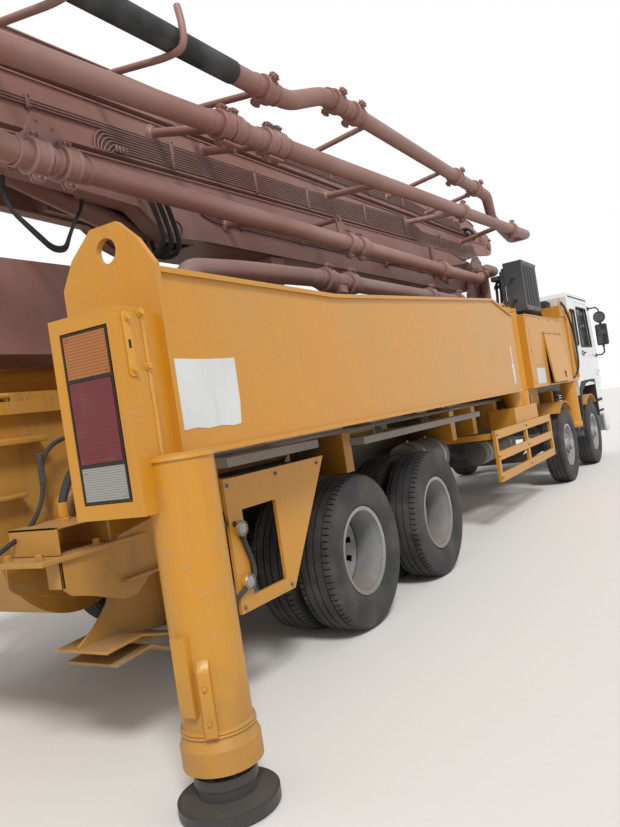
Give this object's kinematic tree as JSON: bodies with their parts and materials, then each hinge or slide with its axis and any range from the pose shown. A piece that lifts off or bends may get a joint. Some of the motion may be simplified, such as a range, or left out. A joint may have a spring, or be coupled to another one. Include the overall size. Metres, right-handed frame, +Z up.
{
  "type": "concrete pump truck",
  "caption": "Concrete pump truck with a folded boom on a slewing turret, swing-out outriggers, hopper, pump, steered and twin wheels.",
  "frame": {"origin": "on the ground, midway along the truck and on its centre line", "axes": "+X forward, +Y to the truck's left, +Z up"},
  "size_m": [12.3899, 3.6452, 4.142],
  "materials": {
    "chassis_black": "satin black paint, dusty",
    "engine_iron": "oily cast iron",
    "yellow_paint": "ochre yellow paint, weathered",
    "deck_grey": "grey plate, dusty",
    "tank_steel": "dull steel",
    "cab_paint": "white paint, dusty",
    "dark_plastic": "matt black plastic",
    "glass": "tinted safety glass",
    "boom_paint": "dusty red-brown paint",
    "pump_paint": "ochre paint with dried concrete",
    "tyre_rubber": "dusty tyre rubber",
    "rim_steel": "silver paint",
    "cooler_grey": "dark grey paint",
    "hose_rubber": "matt black rubber",
    "rod_chrome": "polished"
  },
  "bodies": {
    "truck": {"chassis_rails": "chassis_black", "axles": "chassis_black", "engine": "engine_iron", "subframe": "yellow_paint", "deck": "deck_grey", "side_guards": "yellow_paint", "tanks": "tank_steel", "cab_shell": "cab_paint", "cab_interior": "dark_plastic", "cab_glass": "glass", "bumper": "cab_paint", "mirrors": "dark_plastic", "boom_rest": "boom_paint", "deck_pipe": "boom_paint", "pump_unit": "pump_paint", "hopper": "yellow_paint"},
    "knuckle_1_right": {"knuckle_1_right": "chassis_black"},
    "wheel_1_right": {"tyre_1_right": "tyre_rubber", "rim_1_right": "rim_steel"},
    "knuckle_2_right": {"knuckle_2_right": "chassis_black"},
    "wheel_2_right": {"tyre_2_right": "tyre_rubber", "rim_2_right": "rim_steel"},
    "wheel_3_right": {"tyre_3_right": "tyre_rubber", "rim_3_right": "rim_steel"},
    "wheel_4_right": {"tyre_4_right": "tyre_rubber", "rim_4_right": "rim_steel"},
    "knuckle_1_left": {"knuckle_1_left": "chassis_black"},
    "wheel_1_left": {"tyre_1_left": "tyre_rubber", "rim_1_left": "rim_steel"},
    "knuckle_2_left": {"knuckle_2_left": "chassis_black"},
    "wheel_2_left": {"tyre_2_left": "tyre_rubber", "rim_2_left": "rim_steel"},
    "wheel_3_left": {"tyre_3_left": "tyre_rubber", "rim_3_left": "rim_steel"},
    "wheel_4_left": {"tyre_4_left": "tyre_rubber", "rim_4_left": "rim_steel"},
    "door_right": {"door_right": "cab_paint"},
    "door_left": {"door_left": "cab_paint"},
    "grate": {"hopper_grate": "yellow_paint"},
    "agitator": {"agitator": "tank_steel"},
    "turret": {"turret": "boom_paint", "cooler": "cooler_grey"},
    "arm_1": {"arm_1": "boom_paint"},
    "arm_2": {"arm_2": "boom_paint"},
    "arm_3": {"arm_3": "boom_paint", "end_hose": "hose_rubber"},
    "lift_barrel": {"lift_barrel": "boom_paint"},
    "lift_rod": {"lift_rod": "rod_chrome"},
    "arm_2_barrel": {"arm_2_barrel": "boom_paint"},
    "arm_2_rod": {"arm_2_rod": "rod_chrome"},
    "arm_3_barrel": {"arm_3_barrel": "boom_paint"},
    "arm_3_rod": {"arm_3_rod": "rod_chrome"},
    "rear_leg_right": {"rear_leg_right": "yellow_paint"},
    "rear_foot_right": {"rear_foot_right": "chassis_black"},
    "front_leg_right": {"front_leg_right": "yellow_paint"},
    "front_foot_right": {"front_foot_right": "chassis_black"},
    "rear_leg_left": {"rear_leg_left": "yellow_paint"},
    "rear_foot_left": {"rear_foot_left": "chassis_black"},
    "front_leg_left": {"front_leg_left": "yellow_paint"},
    "front_foot_left": {"front_foot_left": "chassis_black"}
  },
  "joints": [
    {"name": "steer_1_right", "type": "hinge", "parent": "truck", "child": "knuckle_1_right", "pos_m": [4.85, -0.88, 0.525], "axis": [0, 0, 1], "range_deg": [-30, 30]},
    {"name": "roll_1_right", "type": "hinge", "parent": "knuckle_1_right", "child": "wheel_1_right", "pos_m": [4.85, -1.095, 0.525], "axis": [0, 1, 0], "continuous": true},
    {"name": "steer_2_right", "type": "hinge", "parent": "truck", "child": "knuckle_2_right", "pos_m": [2.9, -0.88, 0.525], "axis": [0, 0, 1], "range_deg": [-21, 21]},
    {"name": "roll_2_right", "type": "hinge", "parent": "knuckle_2_right", "child": "wheel_2_right", "pos_m": [2.9, -1.095, 0.525], "axis": [0, 1, 0], "continuous": true},
    {"name": "roll_3_right", "type": "hinge", "parent": "truck", "child": "wheel_3_right", "pos_m": [-2.2, -1.095, 0.525], "axis": [0, 1, 0], "continuous": true},
    {"name": "roll_4_right", "type": "hinge", "parent": "truck", "child": "wheel_4_right", "pos_m": [-3.55, -1.095, 0.525], "axis": [0, 1, 0], "continuous": true},
    {"name": "steer_1_left", "type": "hinge", "parent": "truck", "child": "knuckle_1_left", "pos_m": [4.85, 0.88, 0.525], "axis": [0, 0, 1], "range_deg": [-30, 30]},
    {"name": "roll_1_left", "type": "hinge", "parent": "knuckle_1_left", "child": "wheel_1_left", "pos_m": [4.85, 1.095, 0.525], "axis": [0, 1, 0], "continuous": true},
    {"name": "steer_2_left", "type": "hinge", "parent": "truck", "child": "knuckle_2_left", "pos_m": [2.9, 0.88, 0.525], "axis": [0, 0, 1], "range_deg": [-21, 21]},
    {"name": "roll_2_left", "type": "hinge", "parent": "knuckle_2_left", "child": "wheel_2_left", "pos_m": [2.9, 1.095, 0.525], "axis": [0, 1, 0], "continuous": true},
    {"name": "roll_3_left", "type": "hinge", "parent": "truck", "child": "wheel_3_left", "pos_m": [-2.2, 1.095, 0.525], "axis": [0, 1, 0], "continuous": true},
    {"name": "roll_4_left", "type": "hinge", "parent": "truck", "child": "wheel_4_left", "pos_m": [-3.55, 1.095, 0.525], "axis": [0, 1, 0], "continuous": true},
    {"name": "door_right_hinge", "type": "hinge", "parent": "truck", "child": "door_right", "pos_m": [5.8, -1.236, 1.7], "axis": [0, 0, 1], "range_deg": [0, 70]},
    {"name": "door_left_hinge", "type": "hinge", "parent": "truck", "child": "door_left", "pos_m": [5.8, 1.236, 1.7], "axis": [0, 0, -1], "range_deg": [0, 70]},
    {"name": "grate_hinge", "type": "hinge", "parent": "truck", "child": "grate", "pos_m": [-5.4, -0.596, 1.79], "axis": [1, 0, 0], "range_deg": [0, 100]},
    {"name": "agitator_turn", "type": "hinge", "parent": "truck", "child": "agitator", "pos_m": [-5.4, 0, 1.18], "axis": [0, 1, 0], "continuous": true},
    {"name": "turret_slew", "type": "hinge", "parent": "truck", "child": "turret", "pos_m": [2.15, 0, 1.78], "axis": [0, 0, 1], "range_deg": [-180, 180]},
    {"name": "arm_1_raise", "type": "hinge", "parent": "turret", "child": "arm_1", "pos_m": [2.55, 0, 3.15], "axis": [0, 1, 0], "range_deg": [0, 90]},
    {"name": "arm_2_fold", "type": "hinge", "parent": "arm_1", "child": "arm_2", "pos_m": [-5.95, 0, 3.34], "axis": [0, -1, 0], "range_deg": [0, 180]},
    {"name": "arm_3_fold", "type": "hinge", "parent": "arm_2", "child": "arm_3", "pos_m": [3.75, 0, 3.79], "axis": [0, 1, 0], "range_deg": [0, 180]},
    {"name": "lift_ram_tilt", "type": "hinge", "parent": "turret", "child": "lift_barrel", "pos_m": [1.95, 0, 2.15], "axis": [0, 1, 0], "range_deg": [0, 72.29]},
    {"name": "lift_ram_stroke", "type": "slide", "parent": "lift_barrel", "child": "lift_rod", "axis": [-0.9095, 0, 0.4158], "range_m": [0, 1.4506]},
    {"name": "arm_2_ram_tilt", "type": "hinge", "parent": "arm_1", "child": "arm_2_barrel", "pos_m": [-3.9, 0, 2.935], "axis": [0, -1, 0], "range_deg": [0, 3.08]},
    {"name": "arm_2_ram_stroke", "type": "slide", "parent": "arm_2_barrel", "child": "arm_2_rod", "axis": [-0.9748, 0, 0.223], "range_m": [0, 0.5502]},
    {"name": "arm_3_ram_tilt", "type": "hinge", "parent": "arm_2", "child": "arm_3_barrel", "pos_m": [1.65, 0, 3.59], "axis": [0, 1, 0], "range_deg": [0, 1.3]},
    {"name": "arm_3_ram_stroke", "type": "slide", "parent": "arm_3_barrel", "child": "arm_3_rod", "axis": [0.9943, 0, 0.1069], "range_m": [0, 0.4788]},
    {"name": "rear_leg_right_swing", "type": "hinge", "parent": "truck", "child": "rear_leg_right", "pos_m": [0.9, -1.08, 1.4], "axis": [0, 0, 1], "range_deg": [-2.9, 38]},
    {"name": "rear_foot_right_drop", "type": "slide", "parent": "rear_leg_right", "child": "rear_foot_right", "axis": [0, 0, -1], "range_m": [0, 0.6]},
    {"name": "front_leg_right_swing", "type": "hinge", "parent": "truck", "child": "front_leg_right", "pos_m": [1.25, -1.08, 1.4], "axis": [0, 0, -1], "range_deg": [0, 80]},
    {"name": "front_foot_right_drop", "type": "slide", "parent": "front_leg_right", "child": "front_foot_right", "axis": [0, 0, -1], "range_m": [0, 0.7]},
    {"name": "rear_leg_left_swing", "type": "hinge", "parent": "truck", "child": "rear_leg_left", "pos_m": [0.9, 1.08, 1.4], "axis": [0, 0, -1], "range_deg": [-2.9, 38]},
    {"name": "rear_foot_left_drop", "type": "slide", "parent": "rear_leg_left", "child": "rear_foot_left", "axis": [0, 0, -1], "range_m": [0, 0.6]},
    {"name": "front_leg_left_swing", "type": "hinge", "parent": "truck", "child": "front_leg_left", "pos_m": [1.25, 1.08, 1.4], "axis": [0, 0, 1], "range_deg": [0, 80]},
    {"name": "front_foot_left_drop", "type": "slide", "parent": "front_leg_left", "child": "front_foot_left", "axis": [0, 0, -1], "range_m": [0, 0.7]}
  ],
  "couplings": [
    {"joint": "steer_1_left", "follows": "steer_1_right", "ratio": 1},
    {"joint": "steer_2_right", "follows": "steer_1_right", "ratio": 0.7},
    {"joint": "steer_2_left", "follows": "steer_1_right", "ratio": 0.7},
    {"joint": "lift_ram_tilt", "follows": "arm_1_raise", "ratio": 0.80269},
    {"joint": "lift_ram_stroke", "follows": "arm_1_raise", "m_per_rad": 0.92285},
    {"joint": "arm_2_ram_tilt", "follows": "arm_2_fold", "ratio": 0.01682},
    {"joint": "arm_2_ram_stroke", "follows": "arm_2_fold", "m_per_rad": 0.17481},
    {"joint": "arm_3_ram_tilt", "follows": "arm_3_fold", "ratio": 0.006956},
    {"joint": "arm_3_ram_stroke", "follows": "arm_3_fold", "m_per_rad": 0.15209}
  ]
}
